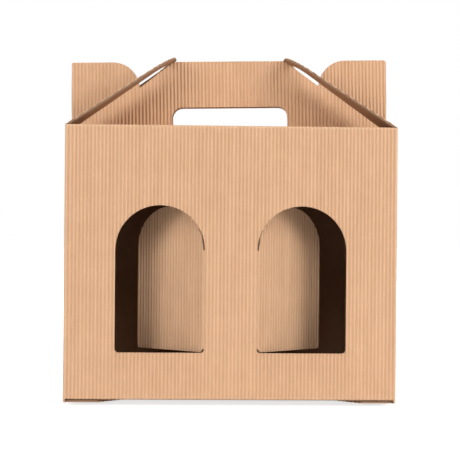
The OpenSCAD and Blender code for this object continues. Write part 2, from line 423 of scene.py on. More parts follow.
class Outlines:
    """Die-cut outlines of the blank's panels, each in its panel's own flat coordinates."""

    def __init__(self, size: Carrier) -> None:
        """Keeps the sizes that the outlines are worked out from."""
        self.size = size

    def window(self, side: Side, inset: float) -> list[Point]:
        """A window in the front wall, across from the middle and up from the bottom fold.

        Args:
            side: which window.
            inset: how much smaller the outline is all round.

        Returns:
            The outline's corners.
        """
        s = self.size
        mid = side.value * (s.window_gap + s.window_w) / 2
        half, low, r = s.window_w / 2 - inset, s.sill + inset, s.window_r
        spring = s.sill + s.window_h - s.window_w / 2
        return [
            *arc((mid - half + r, low + r), r, 180, 270, 4),
            *arc((mid + half - r, low + r), r, 270, 360, 4),
            *arc((mid, spring), half, 0, 180, 28),
        ]

    def handle(self) -> list[Point]:
        """Handle panel with its two ears, across from the middle and up from the fold."""
        s = self.size
        edge, high = s.width / 2, s.handle_h
        slope = (edge - s.handle_foot - s.handle_top_w / 2) / high
        # The ear's wide rounding ends where it meets the handle's slanted side
        mid, low = s.ear_w - s.ear_round - edge, high - s.ear_round
        start = s.handle_foot - edge - mid
        a, b, c = 1 + slope**2, slope * start - low, start**2 + low**2 - s.ear_round**2
        notch = (math.sqrt(b * b - a * c) - b) / a
        end = math.degrees(math.asin((notch - low) / s.ear_round))
        left = [
            (-edge, -s.lean_z),
            *arc((-edge + s.ear_r, high - s.ear_r), s.ear_r, 180, 90, 4),
            *arc((mid, low), s.ear_round, 90, end, 12),
            (-s.handle_top_w / 2, high),
        ]
        return [*left, *mirrored(left)]

    def hand_hole(self, slip: float) -> list[Point]:
        """Hand hole, open at its foot, where the handle is folded from the shoulder.

        Args:
            slip: how far the hole sits to the right and down.

        Returns:
            The outline's corners.
        """
        s = self.size
        half, high, r = s.hole_w / 2, s.hole_h - slip, s.hole_r
        right = [(slip + half, -s.lean_z), *arc((slip + half - r, high - r), r, 0, 90, 8)]
        left = [*arc((slip - half + r, high - r), r, 90, 180, 8), (slip - half, -s.lean_z)]
        return [*right, *left]

    def roof(self) -> list[Point]:
        """Roof flap with its rounded tip, across from its middle and along from its fold."""
        s = self.size
        half, root = s.depth / 2 - s.fold_gap, s.depth / 2 - s.roof_inset
        slope = (half - s.roof_tip_w / 2) / s.roof_len
        turn = math.atan(slope)
        tip_r = s.roof_tip_w / 2 * math.cos(turn) / (1 - math.sin(turn))
        shoulder = (half - root) / slope
        tip = arc((0, s.roof_len - tip_r), tip_r, math.degrees(turn), 180 - math.degrees(turn), 16)
        return [(-root, 0), (root, 0), (root, shoulder), *tip, (-root, shoulder)]

    def roof_slot(self) -> list[Point]:
        """Round-ended slot that the ears stand through."""
        s = self.size
        half = s.slot_w / 2
        end = arc((0, s.roof_len - s.tip_bar - half), half, 0, 180, 20)
        return [(-half, -s.slot_w), (half, -s.slot_w), *end]

    def front_foot(self) -> list[Point]:
        """Front flap of the bottom, with the recess that the tongue passes through."""
        s = self.size
        half, tip = self.foot_half, self.foot_half - s.front_flap_l / 3
        room = s.tongue_w / 2 + s.layer
        right = [
            (room, s.front_flap_l - s.recess_l), (room, s.front_flap_l),
            (tip, s.front_flap_l), (half, s.foot_start), (half, -s.fold),
        ]
        return [*right, *mirrored(right)]

    def side_foot(self) -> list[Point]:
        """Side flap of the bottom."""
        s = self.size
        half = s.depth / 2 - 2 * s.play
        right = [(half / 3, s.side_flap_l), (half, s.side_flap_edge), (half, -s.fold)]
        return [*right, *mirrored(right)]

    def back_foot(self) -> list[Point]:
        """Back flap of the bottom, cut free on both sides of its tongue."""
        s = self.size
        room = s.tongue_w / 2 + s.play
        right = [
            (room, s.tongue_root), (room, s.back_flap_l),
            ((s.tongue_w + s.back_flap_l) / 2, s.back_flap_l),
            (self.foot_half, 0), (self.foot_half, -s.fold),
        ]
        return [*right, *mirrored(right)]

    @property
    def foot_half(self) -> float:
        """Half the width that a bottom flap has between the side walls."""
        return self.size.width / 2 - self.size.wall_t - self.size.play


# ---------------------------------------------------------------- sheets


def plane(origin: Sequence[float], across: Sequence[float], along: Sequence[float]) -> Matrix:
    """Matrix from outline coordinates to a plane in the scene.

    Args:
        origin: where the outline's origin lies.
        across: direction of its first coordinate.
        along: direction of its second coordinate.

    Returns:
        The matrix, with the plane's normal as its third direction.
    """
    a, b = Vector(across), Vector(along)
    return Matrix.Translation(origin) @ Matrix((a, b, a.cross(b))).transposed().to_4x4()


STANDING = plane((0, 0, 0), (1, 0, 0), (0, 0, 1))


@dataclass(frozen=True)
class Station:
    """One point of a sheet's first row.

    Zone is that of the edge from this point to the next one.
    """

    place: Vector
    across: float
    depth: float
    zone: Zone = Zone.BODY


@dataclass(frozen=True)
class Fold:
    """A fold of one ply: its axis, its angle, its outer radius and how far its flutes are crushed."""

    centre: Vector
    axis: str
    angle: float
    radius: float
    crush: float


class Sheet:
    """One ply as an open sheet of faces. Each vertex keeps where it lay in the flat blank."""

    def __init__(self, stations: Sequence[Station]) -> None:
        """Starts the sheet with a row of edges through the stations."""
        self.bm = bmesh.new()
        self.zone = self.bm.faces.layers.int.new("zone")
        self.part = self.bm.edges.layers.int.new("part")
        self.flat = self.bm.verts.layers.float_vector.new("flat")
        verts = []
        for station in stations:
            verts.append(self.bm.verts.new(station.place))
            verts[-1][self.flat] = Vector((station.across, 0.0, station.depth))
        self.row = [self.bm.edges.new(pair) for pair in zip(verts, verts[1:])]
        for edge, station in zip(self.row, stations):
            edge[self.part] = station.zone

    def pick(self, edges: Iterable[BMEdge], *zones: Zone) -> list[BMEdge]:
        """Those of a row's edges that belong to the given zones."""
        return [edge for edge in edges if edge[self.part] in zones]

    def sweep(
        self, edges: Sequence[BMEdge], step: Matrix, count: int, run: float, zone: Zone | None
    ) -> list[BMEdge]:
        """Extrudes a row several times and moves it by the same step each time.

        Args:
            edges: the row to start from.
            step: movement of one step.
            count: number of steps.
            run: length of board that one step uses.
            zone: what the new faces belong to, or None for their edges' own zone.

        Returns:
            The last row's edges.
        """
        for _ in range(count):
            made = bmesh.ops.extrude_edge_only(self.bm, edges=list(edges))["geom"]
            verts = {g for g in made if isinstance(g, BMVert)}
            edges = [g for g in made if isinstance(g, BMEdge) and verts.issuperset(g.verts)]
            for vert in verts:
                vert[self.flat] = vert[self.flat] + Vector((0.0, run, 0.0))
            for edge in edges:
                edge.link_faces[0][self.zone] = zone or edge[self.part]
            bmesh.ops.transform(self.bm, matrix=step, verts=list(verts))
        return list(edges)

    def pull(self, edges: Sequence[BMEdge], move: Vector, zone: Zone | None = None) -> list[BMEdge]:
        """Extrudes a row straight, in one step."""
        return self.sweep(edges, Matrix.Translation(move), 1, move.length, zone)

    def bend(self, edges: Sequence[BMEdge], fold: Fold) -> list[BMEdge]:
        """Spins a row round a fold in a few steps.

        Args:
            edges: the row to start from.
            fold: the fold's axis, angle and radius.

        Returns:
            The last row's edges.
        """
        turn = Matrix.Rotation(fold.angle / FOLD_STEPS, 4, fold.axis)
        step = Matrix.Translation(fold.centre) @ turn @ Matrix.Translation(-fold.centre)
        return self.sweep(edges, step, FOLD_STEPS, abs(fold.angle) / FOLD_STEPS * fold.radius, Zone.FOLD)

    def crease(
        self, edges: Sequence[BMEdge], way: Vector, fold: Fold, zone: Zone | None = None
    ) -> list[BMEdge]:
        """Bends a row round a fold along which its flutes are pressed flat.

        Args:
            edges: the row to start from.
            way: direction and length of the pressed board before the fold.
            fold: where and how far the row bends.
            zone: what the faces after the fold belong to.

        Returns:
            The last row's edges.
        """
        inward = Matrix.Rotation(math.copysign(QUARTER, fold.angle), 3, fold.axis) @ way.normalized()
        turn = Matrix.Rotation(fold.angle, 3, fold.axis)
        edges = self.pull(edges, way)
        self.press(edges, inward, fold.crush)
        edges = self.bend(edges, fold)
        edges = self.pull(edges, turn @ way, zone)
        self.press(edges, turn @ inward, -fold.crush)
        return edges

    def press(self, edges: Sequence[BMEdge], inward: Vector, share: float) -> None:
        """Crushes the flutes along a row, or lets them rise again.

        Args:
            edges: the row.
            inward: direction from the crests to the liner.
            share: share of their depth that the points move outwards, negative to move back.
        """
        for vert in {vert for edge in edges for vert in edge.verts}:
            vert.co -= inward * vert[self.flat].z * share

    def trim(
        self, outline: Sequence[Point], keep: bool, zone: Zone = Zone.BODY, place: Matrix = STANDING
    ) -> None:
        """Cuts one zone along an outline and drops what lies on one side of it.

        Args:
            outline: corners of a closed outline.
            keep: True keeps the inside, False makes a hole.
            zone: the faces to cut.
            place: from the outline's coordinates to the scene's.
        """
        to_flat, turn = place.inverted(), place.to_3x3()
        live = {face for face in self.bm.faces if face[self.zone] == zone}
        spans = {face: self._span(face, to_flat) for face in live}
        for a, b in zip(outline, [*outline[1:], outline[0]]):
            low, high = (min(a[0], b[0]), min(a[1], b[1])), (max(a[0], b[0]), max(a[1], b[1]))
            hit = [face for face in live if self._meets(spans[face], low, high)]
            if not hit:
                continue
            found = bmesh.ops.bisect_plane(
                self.bm,
                geom=list({g for face in hit for g in (face, *face.edges, *face.verts)}),
                dist=TINY,
                plane_co=place @ Vector((*a, 0)),
                plane_no=turn @ Vector((b[1] - a[1], a[0] - b[0], 0)),
            )["geom"]
            for face in (g for g in found if isinstance(g, BMFace)):
                live.add(face)
                spans[face] = self._span(face, to_flat)
        doomed = [f for f in live if inside(to_flat @ f.calc_center_median(), outline) != keep]
        bmesh.ops.delete(self.bm, geom=doomed, context="FACES")

    def clip(self, point: Vector, outward: Vector) -> None:
        """Cuts the whole sheet with a plane and drops what lies beyond it.

        Args:
            point: a point of the plane.
            outward: direction of what is dropped.
        """
        geom = [*self.bm.verts, *self.bm.edges, *self.bm.faces]
        bmesh.ops.bisect_plane(
            self.bm, geom=geom, dist=TINY, plane_co=point, plane_no=outward, clear_outer=True
        )

    def turn(self, matrix: Matrix) -> None:
        """Moves the whole sheet."""
        bmesh.ops.transform(self.bm, matrix=matrix, verts=self.bm.verts[:])

    def finish(self, name: str, outward: Callable[[Vector], Vector]) -> bpy.types.Mesh:
        """Makes a mesh of the sheet, with its faces turned outwards.

        Args:
            name: the mesh's name.
            outward: gives the outward direction for a face's middle.

        Returns:
            The mesh, with the flat coordinates as an attribute.
        """
        bmesh.ops.remove_doubles(self.bm, verts=self.bm.verts[:], dist=TINY)
        loose = [vert for vert in self.bm.verts if not vert.link_faces]
        bmesh.ops.delete(self.bm, geom=loose, context="VERTS")
        bmesh.ops.recalc_face_normals(self.bm, faces=self.bm.faces[:])
        if sum(f.normal.dot(outward(f.calc_center_median())) * f.calc_area() for f in self.bm.faces) < 0:
            bmesh.ops.reverse_faces(self.bm, faces=self.bm.faces[:])
        for face in self.bm.faces:
            face.smooth = True
        for edge in self.bm.edges:
            edge.smooth = edge.calc_face_angle(math.pi) < SHARP
        mesh = bpy.data.meshes.new(name)
        self.bm.to_mesh(mesh)
        self.bm.free()
        return mesh

    @staticmethod
    def _span(face: BMFace, to_flat: Matrix) -> tuple[float, float, float, float]:
        """Lowest and highest flat coordinates of a face.

        Args:
            face: the face.
            to_flat: from the scene's coordinates to the outline's.

        Returns:
            Lowest x and y, then highest x and y.
        """
        points = [to_flat @ vert.co for vert in face.verts]
        xs, ys = [p.x for p in points], [p.y for p in points]
        return min(xs) - TINY, min(ys) - TINY, max(xs) + TINY, max(ys) + TINY

    @staticmethod
    def _meets(span: tuple[float, float, float, float], low: Point, high: Point) -> bool:
        """Whether a face's span touches a segment's."""
        return span[0] < high[0] and span[2] > low[0] and span[1] < high[1] and span[3] > low[1]


def inside(point: Vector, outline: Sequence[Point]) -> bool:
    """Tells whether a point's first two coordinates lie inside a closed outline.

    Args:
        point: the point, in the outline's coordinates.
        outline: the corners in order.

    Returns:
        True inside, False outside.
    """
    odd = False
    for (ax, ay), (bx, by) in zip(outline, [*outline[1:], outline[0]]):
        if (ay > point.y) != (by > point.y) and point.x < ax + (point.y - ay) * (bx - ax) / (by - ay):
            odd = not odd
    return odd


# ---------------------------------------------------------------- materials


class Graph:
    """Short hand for the nodes and links of one node tree."""

    def __init__(self, tree: bpy.types.NodeTree) -> None:
        """Keeps the tree that nodes are added to."""
        self.tree = tree

    def add(self, kind: str, inputs: dict[int | str, Any] | None = None, **settings: Any) -> bpy.types.Node:
        """Adds a node.

        Args:
            kind: the node's type, without its ShaderNode prefix.
            inputs: values and output sockets for its inputs.
            settings: properties of the node.

        Returns:
            The new node.
        """
        node = self.tree.nodes.new(f"ShaderNode{kind}")
        for key, value in settings.items():
            setattr(node, key, value)
        for key, value in (inputs or {}).items():
            self.feed(node.inputs[key], value)
        return node

    def feed(self, socket: bpy.types.NodeSocket, value: Any) -> None:
        """Gives a socket its value.

        Args:
            socket: an input of one of the tree's nodes.
            value: an output to link it to, or a constant.
        """
        if isinstance(value, bpy.types.NodeSocket):
            self.tree.links.new(value, socket)
        else:
            socket.default_value = value

    def math(self, operation: str, *values: Any) -> bpy.types.NodeSocket:
        """Result of a Math node."""
        return self.add("Math", dict(enumerate(values)), operation=operation).outputs[0]

    def ramp(
        self, value: bpy.types.NodeSocket, low: float, high: float, to_low: float, to_high: float
    ) -> bpy.types.NodeSocket:
        """Result of a clamped Map Range node."""
        return self.add("MapRange", {0: value, 1: low, 2: high, 3: to_low, 4: to_high}).outputs[0]

    def mix(self, factor: Any, a: Any, b: Any) -> bpy.types.NodeSocket:
        """Mixes two colours.

        Args:
            factor: share of the second colour.
            a: first colour.
            b: second colour.

        Returns:
            The mixed colour.
        """
        node = self.add("Mix", data_type="RGBA")
        for key, value in (("Factor_Float", factor), ("A_Color", a), ("B_Color", b)):
            self.feed(next(i for i in node.inputs if i.identifier == key), value)
        return next(o for o in node.outputs if o.identifier == "Result_Color")


class Effect:
    """A shader node group with named inputs and outputs."""

    def __init__(self, name: str, inputs: dict[str, str], outputs: Sequence[str]) -> None:
        """Makes the group's sockets.

        Args:
            name: the group's name.
            inputs: socket type of each named input.
            outputs: names of the outputs, which are all single values.
        """
        self.tree = bpy.data.node_groups.new(name, "ShaderNodeTree")
        for key, kind in inputs.items():
            self.tree.interface.new_socket(name=key, in_out="INPUT", socket_type=f"NodeSocket{kind}")
        for key in outputs:
            self.tree.interface.new_socket(name=key, in_out="OUTPUT", socket_type="NodeSocketFloat")
        self.graph = Graph(self.tree)
        self.inputs = self.tree.nodes.new("NodeGroupInput").outputs
        self.sink = self.tree.nodes.new("NodeGroupOutput")

    def give(self, name: str, value: bpy.types.NodeSocket) -> None:
        """Joins a value to one of the group's outputs."""
        self.tree.links.new(value, self.sink.inputs[name])

    def use(self, graph: Graph, values: dict[int | str, Any]) -> bpy.types.Node:
        """Places the group in a material."""
        return graph.add("Group", values, node_tree=self.tree)


def paper_grain() -> Effect:
    """Makes the grain of unbleached kraft paper: clouds, short fibres and dark specks.

    Returns:
        The group, whose noise scales are per millimetre.
    """
    effect = Effect("paper_grain", {"Flat": "Vector", "Length": "Float"}, ("Cloud", "Fibre", "Speck"))
    g = effect.graph
    place = g.add("VectorMath", {0: effect.inputs["Flat"], "Scale": PER_METRE}, operation="SCALE").outputs[0]
    cloud = g.add("TexNoise", {"Vector": place, "Scale": 0.07, "Detail": 4.0, "Roughness": 0.6})
    effect.give("Cloud", cloud.outputs[0])
    layers = []
    for turn in (0.35, -0.6, 1.45):
        spun = g.add("VectorRotate", {"Vector": place, "Angle": turn}, rotation_type="Z_AXIS").outputs[0]
        parts = g.add("SeparateXYZ", {0: spun}).outputs
        long = g.math("DIVIDE", parts[1], effect.inputs["Length"])
        joined = g.add("CombineXYZ", {0: parts[0], 1: long, 2: turn}).outputs[0]
        layers.append(g.add("TexNoise", {"Vector": joined, "Scale": 2.6, "Detail": 2.0}).outputs[0])
    fibre = g.math("MAXIMUM", g.math("MAXIMUM", layers[0], layers[1]), layers[2])
    effect.give("Fibre", g.ramp(fibre, 0.45, 0.8, 0.0, 1.0))
    speck = g.add("TexNoise", {"Vector": place, "Scale": 0.9, "Detail": 3.0, "Roughness": 0.7}).outputs[0]
    effect.give("Speck", g.ramp(speck, 0.66, 0.74, 0.0, 1.0))
    return effect


def flute_tone() -> Effect:
    """Makes the tone that changes from one flute to the next, and the painted shade that darkens the valley between
    two of them by its depth.

    Returns:
        The group.
    """
    inputs = {"Flat": "Vector", "Pitch": "Float", "Relief": "Float"}
    effect = Effect("flute_tone", inputs, ("Tone", "Groove", "Show"))
    g = effect.graph
    parts = g.add("SeparateXYZ", {0: effect.inputs["Flat"]}).outputs
    turns = g.math("DIVIDE", parts[0], effect.inputs["Pitch"])
    count = g.math("FLOOR", turns)
    along = g.math("MULTIPLY", parts[1], 12.0)
    joined = g.add("CombineXYZ", {0: g.math("MULTIPLY", count, 0.37), 1: along, 2: count}).outputs[0]
    effect.give("Tone", g.add("TexNoise", {"Vector": joined, "Scale": 1.0, "Detail": 2.0}).outputs[0])
    # Painted shade: the valleys between flutes darken by their depth below the crests.
    effect.give("Groove", g.math("DIVIDE", parts[2], effect.inputs["Relief"]))
    wave = g.math("COSINE", g.math("MULTIPLY", turns, 2 * math.pi))
    effect.give("Show", g.math("MULTIPLY_ADD", wave, 0.5, 0.5))
    return effect


@dataclass(frozen=True)
class Kraft:
    """Unbleached kraft paper, as one side or edge of the board shows it.

    Colours are linear. Valley shade paints shade into the bottoms of the flutes, darker the deeper they lie, show lets
    the flutes behind a flat sheet through, tone parts one flute from the next, and the rest is the paper's grain.
    """

    name: str
    base: Colour
    deep: Colour
    # Painted shade in the flute valleys, as a share of their depth.
    groove: float = 0.0
    show: float = 0.0
    tone: float = 0.0
    cloud: float = 0.08
    fibre: float = 0.08
    speck: float = 0.2
    length: float = 6.0
    roughness: float = 0.86
    fibre_rough: float = 0.08
    specular: float = 0.2
    bump: float = 0.3
    bump_depth: float = 0.06 * MM

    def build(self, grain: Effect, flutes: Effect, board: Board) -> bpy.types.Material:
        """Makes the material.

        Args:
            grain: the paper grain group.
            flutes: the group of the flute tone and the painted valley shade.
            board: gives the flutes' pitch and relief.

        Returns:
            The new material.
        """
        material = bpy.data.materials.new(self.name)
        material.use_nodes = True
        tree = material.node_tree
        tree.nodes.clear()
        g = Graph(tree)
        flat = g.add("Attribute", attribute_name="flat").outputs["Vector"]
        paper = grain.use(g, {"Flat": flat, "Length": self.length}).outputs
        wave = flutes.use(g, {"Flat": flat, "Pitch": board.pitch, "Relief": board.relief}).outputs
        # The first share paints shade into the flute valleys; the others are show-through, tone and grain.
        shares = (
            g.math("MULTIPLY", wave["Groove"], self.groove),
            g.math("MULTIPLY", wave["Show"], self.show),
            g.ramp(wave["Tone"], 0.3, 0.7, 0.0, self.tone),
            g.ramp(paper["Cloud"], 0.35, 0.65, 0.0, self.cloud),
            g.math("MULTIPLY", paper["Fibre"], self.fibre),
            g.math("MULTIPLY", paper["Speck"], self.speck),
        )
        shade = reduce(lambda total, share: g.math("ADD", total, share), shares)
        colour = g.mix(shade, (*self.base, 1.0), (*self.deep, 1.0))
        rough = g.ramp(paper["Fibre"], 0.0, 1.0, self.roughness, self.roughness + self.fibre_rough)
        height = g.math("ADD", paper["Fibre"], g.math("MULTIPLY", paper["Cloud"], 0.5))
        bump = g.add("Bump", {"Strength": self.bump, "Distance": self.bump_depth, "Height": height})
        surface = {
            "Base Color": colour,
            "Roughness": rough,
            "Specular IOR Level": self.specular,
            "Normal": bump.outputs[0],
        }
        shader = g.add("BsdfPrincipled", surface)
        g.add("OutputMaterial", {"Surface": shader.outputs[0]})
        return material


@dataclass(frozen=True)
class Finishes:
    """Materials of the board: its two plies' faces and their cut edges."""

    flutes: bpy.types.Material
    liner: bpy.types.Material
    edge: bpy.types.Material

    @classmethod
    def make(cls, board: Board) -> "Finishes":
        """Builds the node groups and the three materials.

        Args:
            board: gives the flutes' pitch and relief.

        Returns:
            The board's finishes.
        """
        grain, waves = paper_grain(), flute_tone()
        # The flutes carry painted shade in their valleys besides tone and grain.
        flutes = Kraft("kraft_flutes", FLUTE_TAN, FLUTE_DEEP_AND_SHADE, groove=0.3, tone=0.15, length=3.0)
        # The liner's dark colours hold painted shade for the box's inside as well as the paper's own tone.
        liner = Kraft("kraft_liner", LINER_TAN_AND_SHADE, LINER_DEEP_AND_SHADE, show=0.12, cloud=0.15, fibre=0.15)
        edge = Kraft("kraft_cut_edge", EDGE_TAN, EDGE_DEEP, fibre=0.3, length=2.0, roughness=0.92)
        return cls(*(kraft.build(grain, waves, board) for kraft in (flutes, liner, edge)))

    def skins(self, ply: Ply) -> tuple[bpy.types.Material, bpy.types.Material]:
        """Materials for a ply's faces and for its cut edges."""
        return (self.flutes if ply is Ply.FLUTES else self.liner), self.edge


# ---------------------------------------------------------------- pieces


@dataclass(frozen=True)
class Wall:
    """One wall of the sleeve, walked clockwise seen from above, so that the box is on the right."""

    zone: Zone
    corner: Point
    heading: Point
    start: float
    length: float

    def at(self, across: float, depth: float, z: float) -> Vector:
        """Place of a point of the wall.

        Args:
            across: distance along the blank.
            depth: depth below the crests.
            z: height.

        Returns:
            The place in the scene.
        """
        run, (hx, hy) = across - self.start, self.heading
        return Vector((self.corner[0] + hx * run + hy * depth, self.corner[1] + hy * run - hx * depth, z))


@dataclass(frozen=True)
class Maker:
    """What every sub-assembly builds with."""

    size: Carrier
    board: Board
    finishes: Finishes

    @property
    def cut(self) -> Outlines:
        """The blank's outlines."""
        return Outlines(self.size)

    def panel(self, ply: Ply, start: float, end: float, low: float, high: float) -> Sheet:
        """Flat upright sheet with its crests at y = 0 facing -Y.

        Args:
            ply: which ply to make.
            start: where it starts in X.
            end: where it ends in X.
            low: its lowest Z.
            high: its highest Z.

        Returns:
            The sheet, with its flutes in step with the front wall's.
        """
        phase = self.size.width / 2
        stations = []
        for across in self.board.stations(ply, start + phase, end + phase):
            depth = self.board.depth(ply, across)
            stations.append(Station(Vector((across - phase, depth, low)), across, depth))
        sheet = Sheet(stations)
        sheet.pull(sheet.row, Vector((0, 0, high - low)))
        return sheet

    def dress(self, mesh: bpy.types.Mesh, ply: Ply) -> bpy.types.Object:
        """Makes a mesh an object with its ply's thickness and materials.

        Args:
            mesh: the ply's outer face.
            ply: which ply it is.

        Returns:
            The object, linked to the scene.
        """
        for skin in self.finishes.skins(ply):
            mesh.materials.append(skin)
        piece = bpy.data.objects.new(mesh.name, mesh)
        bpy.context.scene.collection.objects.link(piece)
        solid = piece.modifiers.new("ply", "SOLIDIFY")
        solid.thickness, solid.offset = self.board.ply_thickness(ply), -1
        solid.material_offset_rim = Slot.CUT
        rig.slot(piece, "kraft_board")
        LOG.info("%s: %d faces", piece.name, len(mesh.polygons))
        return piece


@dataclass(frozen=True)
class Sleeve:
    """The four walls, with the shoulders, the bottom flaps and the seam flap."""

    make: Maker
    corner_lap: float = 0.3 * MM
    ridge_gap: float = 0.5 * MM
    shoulder_inset: float = 3.5 * MM

    @property
    def walls(self) -> tuple[Wall, ...]:
        """The walls from the glued corner round to it again, the seam flap first."""
        size, lap = self.make.size, self.make.board.thickness
        w, d = size.width / 2, size.depth / 2
        seam = lap - 2 * d - lap - size.seam_w
        return (
            Wall(Zone.SEAM, (w - lap - size.seam_w, d - lap), (1, 0), seam, size.seam_w + lap),
            Wall(Zone.RIGHT, (w, d - lap), (0, -1), lap - 2 * d, 2 * d - lap),
            Wall(Zone.FRONT, (w, -d), (-1, 0), 0, 2 * w),
            Wall(Zone.LEFT, (-w, -d), (0, 1), 2 * w, 2 * d),
            Wall(Zone.BACK, (-w, d), (1, 0), 2 * (w + d), 2 * w),
        )

    def row(self, ply: Ply, z: float) -> list[Station]:
        """The sleeve's outline at one height, with its rounded corners.

        Args:
            ply: which ply to follow.
            z: the height.

        Returns:
            The stations from the seam flap's edge to the back wall's glued edge.
        """
        board, fold, walls = self.make.board, self.make.size.fold, self.walls
        corner_depth = board.depth(ply, board.pitch / 2)
        stations = []
        for wall in walls:
            first, last = wall is walls[0], wall is walls[-1]
            start = wall.start + (0 if first else fold)
            end = wall.start + wall.length - (0 if last else fold)
            for across in board.stations(ply, start, end):
                depth = board.depth(ply, across)
                stations.append(Station(wall.at(across, depth, z), across, depth, wall.zone))
            if last:
                break
            zone = Zone.BACK_CORNER if wall.zone is Zone.LEFT else Zone.CORNER
            stations[-1] = replace(stations[-1], zone=zone)
            for step in range(1, FOLD_STEPS):
                angle = QUARTER * step / FOLD_STEPS
                reach = fold - corner_depth
                place = wall.at(end + reach * math.sin(angle), fold - reach * math.cos(angle), z)
                stations.append(Station(place, end + 2 * fold * step / FOLD_STEPS, corner_depth, zone))
        return stations

    def build(self, ply: Ply) -> bpy.types.Object:
        """Sweeps the sleeve up over its shoulders and down into its bottom flaps.

        Args:
            ply: which ply to make.

        Returns:
            The piece, on the carton's body.
        """
        size, d = self.make.size, self.make.size.depth / 2
        sheet = Sheet(self.row(ply, size.top - size.fold - size.crease))
        crush = self.make.board.crush(ply)
        self._raise_head(sheet, crush)
        self._drop_foot(sheet, crush)
        front = plane((0, -d, size.foot), (1, 0, 0), (0, 0, 1))
        for side in Side:
            sheet.trim(self.make.cut.window(side, 0), False, Zone.FRONT, front)
        low, high = 2 * size.layer, size.wall - size.layer
        seam = [(0, low), (size.width, low), (size.width, high), (0, high)]
        sheet.trim(seam, True, Zone.SEAM, front)
        middle = Vector((0, 0, size.top / 2))
        mesh = sheet.finish(f"walls_{ply.value}", lambda point: point - middle)
        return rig.ride(self.make.dress(mesh, ply), "carton")

    def _raise_head(self, sheet: Sheet, crush: float) -> None:
        """Folds the front and back walls' heads over and takes the side walls up to their folds.

        Args:
            sheet: the sleeve so far.
            crush: share of their depth by which the flutes are pressed at a crease.
        """
        size, d = self.make.size, self.make.size.depth / 2
        z, up = size.top - size.fold, Vector((0, 0, size.crease))
        corners = sheet.pick(sheet.row, Zone.CORNER, Zone.BACK_CORNER)
        sheet.pull(corners, up + Vector((0, 0, size.fold - self.corner_lap)))
        for zone, way in ((Zone.LEFT, 1), (Zone.RIGHT, -1)):
            sheet.press(sheet.pull(sheet.pick(sheet.row, zone), up), Vector((way, 0, 0)), crush)
        for zone, way in ((Zone.FRONT, 1), (Zone.BACK, -1)):
            fold = Fold(Vector((0, -way * (d - size.fold), z)), "X", -way * QUARTER, size.fold, crush)
            edges = sheet.crease(sheet.pick(sheet.row, zone), up, fold, Zone.SHOULDER)
            run = d - size.fold - size.crease - self.ridge_gap
            sheet.pull(edges, Vector((0, way * run, 0)), Zone.SHOULDER)
        half = size.width / 2 - self.shoulder_inset
        sheet.trim([(-half, -d), (half, -d), (half, d), (-half, d)], True, Zone.SHOULDER, Matrix())

    def _drop_foot(self, sheet: Sheet, crush: float) -> None:
        """Folds the bottom flaps in: front, then sides, then back, each a layer lower.

        Args:
            sheet: the sleeve so far.
            crush: share of their depth by which the flutes are pressed at a crease.
        """
        size, cut = self.make.size, self.make.cut
        w, d, radius = size.width / 2, size.depth / 2, size.fold
        level, down = size.foot, Vector((0, 0, -size.crease))
        low = sheet.pull(sheet.row, Vector((0, 0, level + 2 * (radius + size.crease) - size.top)))
        front, sides, back = cut.front_foot(), cut.side_foot(), cut.back_foot()
        plans = (
            ((Zone.FRONT, Zone.FRONT_FOOT, (0, -d), (0, 1), "X", QUARTER, size.front_flap_l, front),),
            (
                (Zone.RIGHT, Zone.RIGHT_FOOT, (w, 0), (-1, 0), "Y", QUARTER, size.side_flap_l, sides),
                (Zone.LEFT, Zone.LEFT_FOOT, (-w, 0), (1, 0), "Y", -QUARTER, size.side_flap_l, sides),
            ),
            ((Zone.BACK, Zone.BACK_FOOT, (0, d), (0, -1), "X", -QUARTER, size.back_flap_l, back),),
        )
        for layer, corner in zip(plans, (Zone.SEAM, Zone.CORNER, Zone.BACK_CORNER)):
            for zone, foot, (x, y), (ix, iy), axis, angle, length, outline in layer:
                centre = Vector((x + ix * radius, y + iy * radius, level + radius))
                fold = Fold(centre, axis, angle, radius, crush)
                edges = sheet.crease(sheet.pick(low, zone), down, fold, foot)
                sheet.pull(edges, Vector((ix, iy, 0)) * (length - radius - size.crease), foot)
                sheet.trim(outline, True, foot, plane((x, y, level), (-iy, ix, 0), (ix, iy, 0)))
            sheet.pull(sheet.pick(low, corner), down + Vector((0, 0, self.corner_lap - radius)))
            done = {corner, *(zone for zone, *_ in layer)}
            low = [edge for edge in low if edge[sheet.part] not in done]
            if low:
                low = sheet.pull(low, Vector((0, 0, -size.layer)))
            level -= size.layer


@dataclass(frozen=True)
class Handle:
    """One of the two handle panels, with its ears, leaning a little to one side.

    Way is 1 for the front panel and -1 for the back one.
    """

    make: Maker
    way: int
    spare: float = 2 * MM
    root: float = 4 * MM
    tuck: float = 1.2 * MM

    def build(self, ply: Ply) -> bpy.types.Object:
        """Cuts the panel out and stands it on its shoulder.

        Args:
            ply: which ply to make.

        Returns:
            The piece, on the carton's body.
        """
        size, cut = self.make.size, self.make.cut
        reach = size.width / 2 + self.spare
        sheet = self.make.panel(ply, -reach, reach, -self.root, size.handle_h + MM)
        sheet.trim(cut.handle(), True)
        sheet.trim(cut.hand_hole(0 if self.way > 0 else size.hole_slip), False)
        pivot = Matrix.Translation((0, 0, size.lean_z))
        sheet.turn(pivot @ Matrix.Rotation(-size.lean, 4, "Y") @ pivot.inverted())
        panel_y = size.layer_gap / 2 + self.make.board.thickness
        sheet.turn(Matrix.Diagonal((1, self.way, 1, 1)) @ Matrix.Translation((0, -panel_y, size.top)))
        sheet.clip(Vector((0, 0, size.top - self.tuck)), Vector((0, 0, -1)))
        for side in Side:
            sheet.clip(Vector((side.value * size.width / 2, 0, 0)), Vector((side.value, 0, 0)))
        name = f"{'front' if self.way > 0 else 'back'}_handle_{ply.value}"
        mesh = sheet.finish(name, lambda _: Vector((0, -self.way, 0)))
        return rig.ride(self.make.dress(mesh, ply), "carton")


